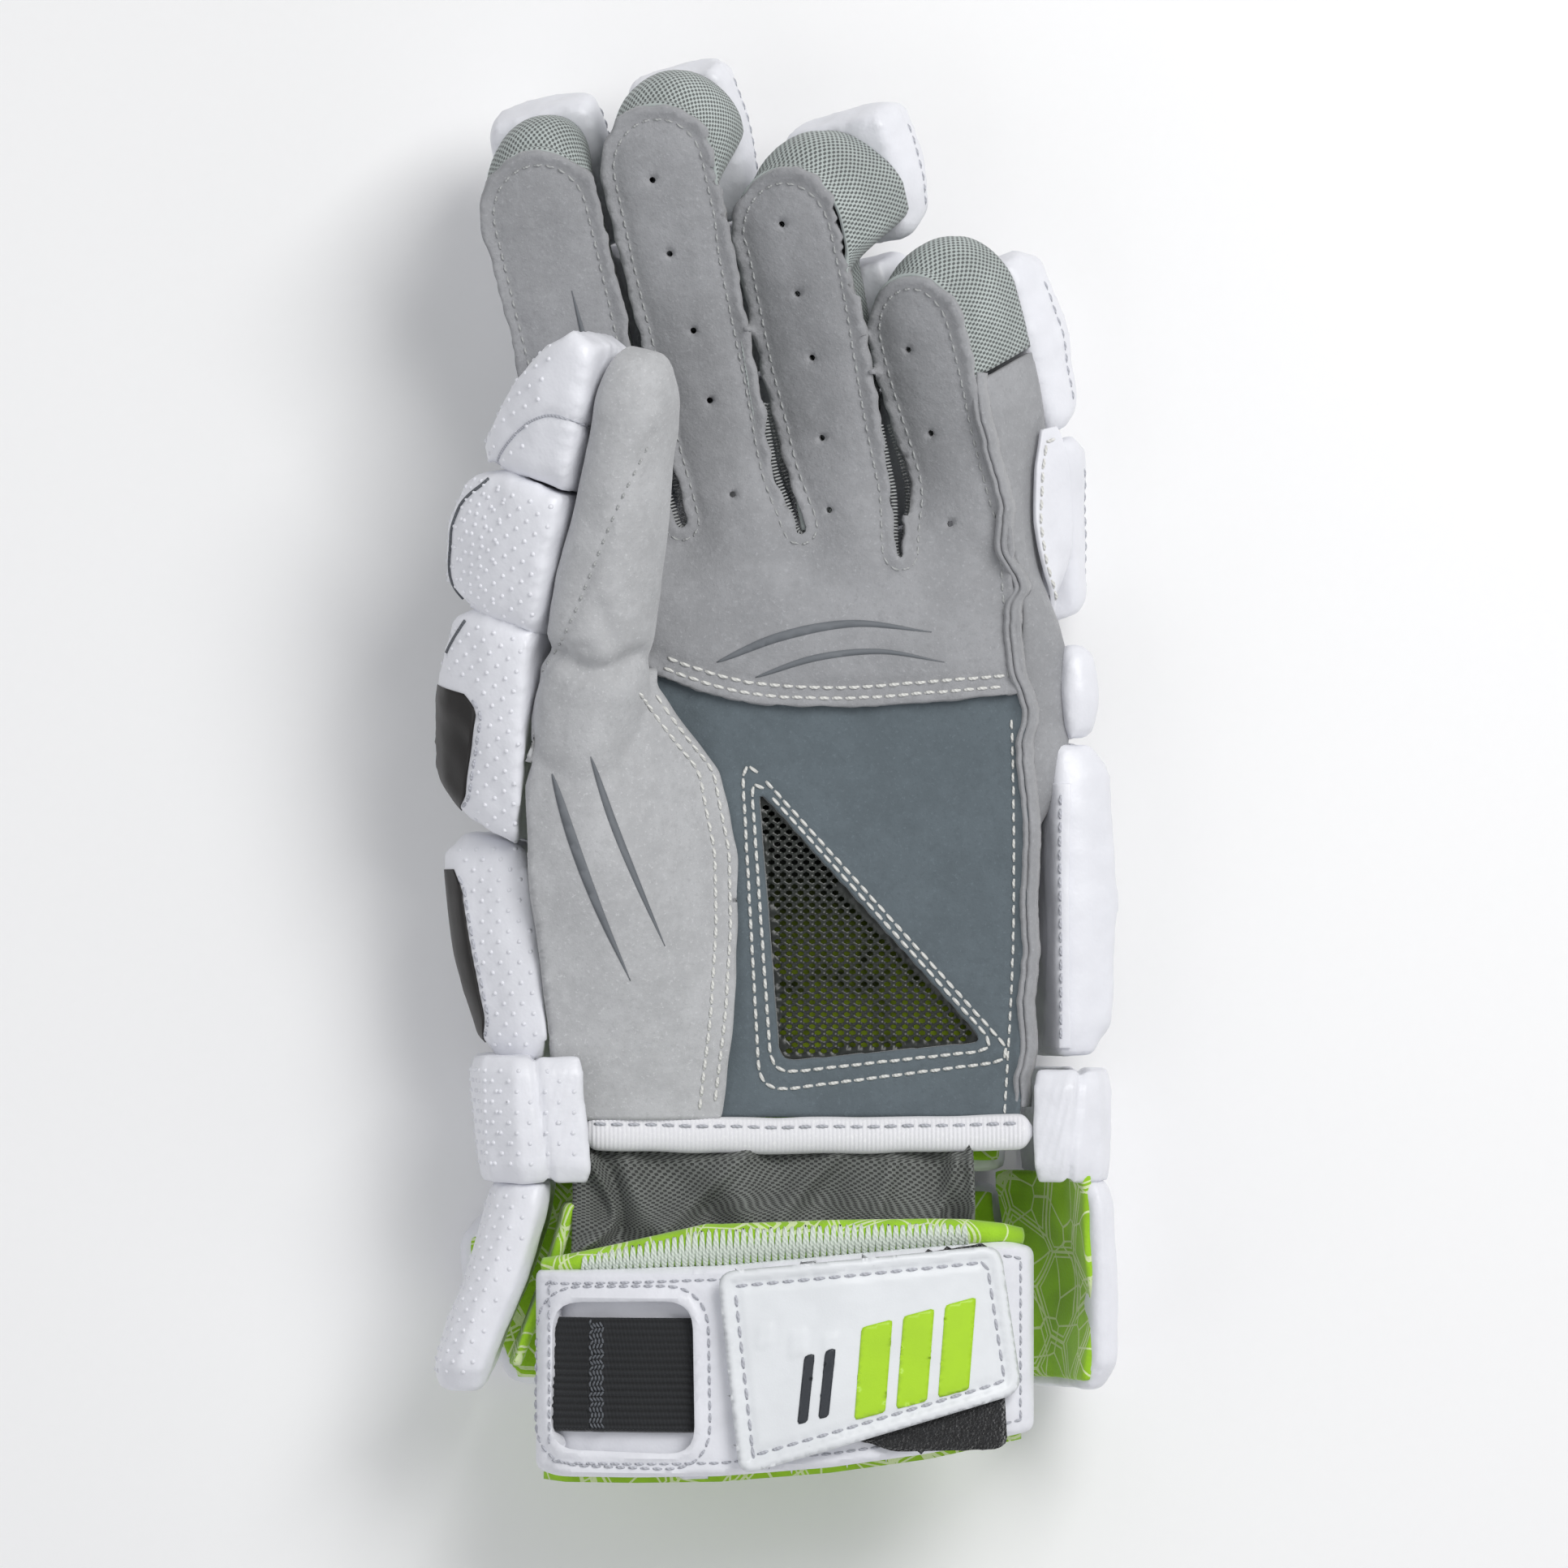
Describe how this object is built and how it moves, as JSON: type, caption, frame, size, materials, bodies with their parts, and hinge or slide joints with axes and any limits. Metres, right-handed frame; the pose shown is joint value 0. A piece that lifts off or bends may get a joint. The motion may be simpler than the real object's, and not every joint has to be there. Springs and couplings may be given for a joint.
{
  "type": "lacrosse glove",
  "caption": "Padded left-hand lacrosse glove lying palm up: suede palm with a net window, mesh-walled fingers, foam blocks on the back, split cuff and a hook-and-loop wrist band.",
  "frame": {"origin": "on the flat underside of the upper back-of-hand pad, on the surface that the glove rests on, under the middle of the hand", "axes": "+X towards the little finger, +Y towards the fingertips, +Z out of the palm"},
  "size_m": [0.1611, 0.3322, 0.0946],
  "materials": {
    "white_leather": "white synthetic leather, partly embossed with small dots",
    "grey_suede": "light grey synthetic suede",
    "slate_suede": "slate synthetic suede",
    "grey_mesh": "fine grey knitted mesh",
    "black_net": "open black net",
    "black_gloss": "glossy black film",
    "black_webbing": "black ribbed elastic and loop pile",
    "white_rubber": "satin moulded rubber",
    "white_webbing": "white ribbed binding tape",
    "lime_lining": "lime knitted lining with fine white lines"
  },
  "bodies": {
    "root": {"palm_front": "grey_suede", "thumb_suede": "grey_suede", "palm_patch": "slate_suede", "vent_net": "black_net", "index_gusset": "grey_mesh", "middle_gusset": "grey_mesh", "ring_gusset": "grey_mesh", "pinky_gusset": "grey_mesh", "ulnar_side": "grey_suede", "pinky_guard": "white_leather", "index_pad_tip": "white_leather", "index_pad_middle": "white_leather", "index_pad_base": "white_leather", "middle_pad_tip": "white_leather", "middle_pad_middle": "white_leather", "middle_pad_base": "white_leather", "ring_pad_tip": "white_leather", "ring_pad_middle": "white_leather", "ring_pad_base": "white_leather", "pinky_pad_tip": "white_leather", "pinky_pad_base": "white_leather", "index_pad_knuckle": "white_leather", "middle_pad_knuckle": "white_leather", "ring_pad_knuckle": "white_leather", "thumb_pad_tip": "white_leather", "thumb_pad_middle": "white_leather", "thumb_pad_base": "white_leather", "radial_pad": "white_leather", "ulnar_pad_upper": "white_leather", "ulnar_pad": "white_leather", "thumb_inlay": "black_gloss", "radial_inlay": "black_gloss", "back_pad_upper": "white_leather", "back_pad_lower": "white_leather", "wrist_pad": "white_leather", "hand_lining": "lime_lining", "wrist_block_left": "white_leather", "wrist_block_right": "white_leather", "hem_binding": "white_webbing", "cuff_left": "white_leather", "cuff_lining_left": "lime_lining", "cuff_right": "white_leather", "cuff_lining_right": "lime_lining", "cuff_back": "white_leather", "cuff_lining_back": "lime_lining", "mesh_gore": "grey_mesh", "wrist_band": "white_leather", "band_lining": "lime_lining", "elastic_web": "black_webbing", "loop_patch": "black_webbing", "strap_tab": "white_rubber"}
  },
  "joints": []
}
